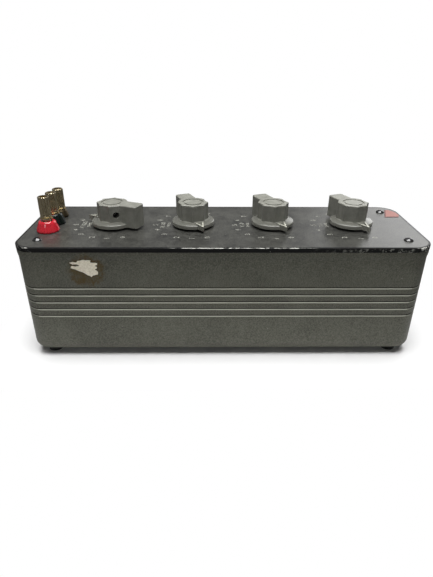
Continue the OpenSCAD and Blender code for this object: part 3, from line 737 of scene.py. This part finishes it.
def blank_label():
    """A plain red label, stuck beside the screw in the right back corner."""
    lift, thick = 0.02 * MM, 0.15 * MM
    outline = (
        (LABEL_LEFT, LABEL_FRONT),
        (160.7 * MM, LABEL_FRONT),
        (163.2 * MM, 27 * MM),
        (162.3 * MM, 36 * MM),
        (158.5 * MM, LABEL_BACK),
        (LABEL_LEFT + LABEL_LEAN * (LABEL_BACK - LABEL_FRONT), LABEL_BACK),
    )
    bm = bmesh.new()
    bm.faces.new([bm.verts.new((x, y, panel_top + lift)) for x, y in outline])
    thicken(bm, Vector((0, 0, thick)))
    add_piece("blank_label", bm, "label_red", "box")


def wall_front(z):
    """Where the front wall's outer face lies at a height."""
    share = (z - case_low.z) / wall_h
    return panel_low.y + WALL_INSET + WALL_LEAN * (1 - share)


# Corners of the paper scrap: along X, and up from the panel's face, in millimetres.
SCRAP_TOP = (
    (-120.7, -12.6), (-118.4, -12.0), (-115.1, -12.3), (-114.2, -11.0),
    (-109.7, -10.3), (-103.9, -10.5), (-104.4, -12.5), (-99.1, -13.1),
)
SCRAP_RIGHT = (
    (-99.3, -14.4), (-101.7, -15.2), (-99.8, -16.2), (-99.8, -17.5),
    (-101.6, -18.3), (-100.1, -19.3), (-99.3, -21.0), (-99.6, -22.7),
)
SCRAP_FOOT = (
    (-102.0, -23.4), (-103.9, -24.0), (-104.6, -25.2), (-105.7, -24.2),
    (-107.5, -23.4), (-111.0, -21.0), (-116.1, -18.8), (-120.3, -17.3),
)
SCRAP_NOTCH = ((-119.3, -15.5), (-116.1, -15.9), (-113.2, -15.3), (-114.6, -14.2), (-118.6, -14.1))

# How the scrap is torn, how far it stands off the wall and lifts from it, and its thickness.
SCRAP_SEED = 7
TEAR_BITE = 0.2 * MM
TEARS_PER_SIDE = 3
SCRAP_LIFT = 0.05 * MM
SCRAP_CURL = 0.35 * MM
SCRAP_THICK = 0.12 * MM


def torn_outline(corners, rng):
    """Breaks the sides of an outline into short tears."""
    outline = []
    for start, end in zip(corners, corners[1:] + corners[:1]):
        side = end - start
        across = Vector((-side.y, side.x)).normalized()
        for step in range(TEARS_PER_SIDE):
            tear = rng.uniform(-TEAR_BITE, TEAR_BITE) if step else 0.0
            outline.append(start + side * step / TEARS_PER_SIDE + across * tear)
    return outline


def paper_scrap():
    """What is left of a torn paper sticker, lifting a little from the wall."""
    rng = random.Random(SCRAP_SEED)
    points = SCRAP_TOP + SCRAP_RIGHT + SCRAP_FOOT + SCRAP_NOTCH
    corners = [Vector((x * MM, panel_top + up * MM)) for x, up in points]
    outline = torn_outline(corners, rng)
    bm = bmesh.new()
    bm.faces.new([bm.verts.new((p.x, wall_front(p.y) - SCRAP_LIFT, p.y)) for p in outline])
    bm.normal_update()
    bmesh.ops.triangulate(bm, faces=bm.faces)
    for vert in bm.verts:
        vert.co.y -= rng.uniform(0.0, SCRAP_CURL)
    thicken(bm, Vector((0, -SCRAP_THICK, 0)))
    add_piece("paper_scrap", bm, "torn_paper", "box")


def make_camera():
    """Stands where the photograph was taken from; place and angles are fitted to the object's outline."""
    photo_h = 577
    focal_px = 468.84
    pitch, yaw, roll = math.radians(27.32), math.radians(0.98), math.radians(0.42)
    place = Vector((-11.77 * MM, -386.24 * MM, panel_top + 137.54 * MM))
    ahead = Vector((math.sin(yaw) * math.cos(pitch), math.cos(yaw) * math.cos(pitch), -math.sin(pitch)))
    level = Vector((math.cos(yaw), -math.sin(yaw), 0))
    upright = level.cross(ahead)
    right = math.cos(roll) * level + math.sin(roll) * upright
    up = math.cos(roll) * upright - math.sin(roll) * level
    data = bpy.data.cameras.new("camera")
    # The frame is upright, so the sensor's width lies along the height of the picture.
    data.sensor_width = 36
    data.lens = data.sensor_width * focal_px / photo_h
    data.clip_start = 10 * MM
    camera = bpy.data.objects.new("camera", data)
    bpy.context.scene.collection.objects.link(camera)
    turn = Matrix((right, up, -ahead)).transposed().to_4x4()
    camera.matrix_world = Matrix.Translation(place) @ turn
    bpy.context.scene.camera = camera


# Brightness of the surroundings: what the eye sees, what lights dull surfaces, and the room with its
# glow that glossy surfaces mirror. The glow fades out at an angle whose cosine is its edge, and its
# azimuth is measured from the back towards the right.
WHITE = 1.0
DULL_LIGHT = 0.03
ROOM = 0.24
GLOW = 2.7
GLOW_EDGE = 0.93
GLOW_AZIMUTH = math.radians(32)
GLOW_HEIGHT = math.radians(17)


def seen_directly(n):
    """One where the eye looks, straight or through glass."""
    path = n.add("ShaderNodeLightPath").outputs
    return n.math("MAXIMUM", path["Is Camera Ray"], path["Is Transmission Ray"])


def make_floor():
    """A pale floor that is white to the eye away from the box and keeps the shadow near it."""
    bpy.ops.mesh.primitive_plane_add(size=30, location=(0, 0, 0))
    floor = bpy.context.object
    floor.name = "floor"
    f = Finish("floor", roughness=0.9, specular=0.1)
    near, far = grey(0.8), grey(0.08)
    shadow_from, shadow_to = 2 * MM, 45 * MM
    x, y, _ = f.axes()
    reach = reach_outside(f, past(f, x, case_high.x), past(f, y, case_high.y))
    f.colour(f.mix(f.ramp(reach, 30 * MM, 140 * MM), near, far))
    white = f.add("ShaderNodeEmission")
    white.inputs["Strength"].default_value = WHITE
    seen_white = f.product(seen_directly(f), f.ramp(reach, shadow_from, shadow_to))
    shader = f.add("ShaderNodeMixShader")
    f.feed(seen_white, shader.inputs[0])
    f.feed(f.bsdf.outputs[0], shader.inputs[1])
    f.feed(white.outputs[0], shader.inputs[2])
    f.feed(shader.outputs[0], f.tree.nodes["Material Output"].inputs["Surface"])
    floor.data.materials.append(f.material)


def mirrored_room(n):
    """The brightness of the room in each direction."""
    toward = n.add("ShaderNodeVectorMath", operation="DOT_PRODUCT")
    n.feed(n.add("ShaderNodeTexCoord").outputs["Generated"], toward.inputs[0])
    toward.inputs[1].default_value = (
        math.sin(GLOW_AZIMUTH) * math.cos(GLOW_HEIGHT),
        math.cos(GLOW_AZIMUTH) * math.cos(GLOW_HEIGHT),
        math.sin(GLOW_HEIGHT),
    )
    return n.blend(n.ramp(toward.outputs["Value"], GLOW_EDGE, 1.0), ROOM, GLOW)


def make_world():
    """White to the eye; glossy surfaces mirror a dim room with a glow low down at the right back."""
    world = bpy.data.worlds.new("studio")
    bpy.context.scene.world = world
    world.use_nodes = True
    n = Nodes(world.node_tree)
    glossy = n.add("ShaderNodeLightPath").outputs["Is Glossy Ray"]
    light = n.choose(glossy, DULL_LIGHT, mirrored_room(n))
    back = n.tree.nodes["Background"]
    back.inputs["Color"].default_value = grey(1.0)
    n.feed(n.choose(seen_directly(n), light, WHITE), back.inputs["Strength"])


def area_light(name, place, aim, width, height, power):
    data = bpy.data.lights.new(name, "AREA")
    data.shape = "RECTANGLE"
    data.size = width
    data.size_y = height
    data.energy = power
    lamp = bpy.data.objects.new(name, data)
    bpy.context.scene.collection.objects.link(lamp)
    lamp.location = place
    lamp.rotation_euler = (Vector(aim) - Vector(place)).to_track_quat("-Z", "Y").to_euler()


def make_lights():
    """A large soft lamp above and a narrow one in front on the left."""
    area_light("overhead", place=(0, -0.08, 1.4), aim=(0, -0.08, 0), width=1.2, height=1.2, power=42)
    area_light("window", place=(-0.5, -1.6, 0.9), aim=(0, 0, 0.1), width=0.15, height=0.5, power=2.4)


dress_nodes()
soft_knobs()
soft_posts()
soft_trim()
pointer_marks()
dial_figures()
blank_label()
paper_scrap()
make_camera()
make_floor()
make_world()
make_lights()

bpy.context.scene.view_settings.view_transform = "Standard"
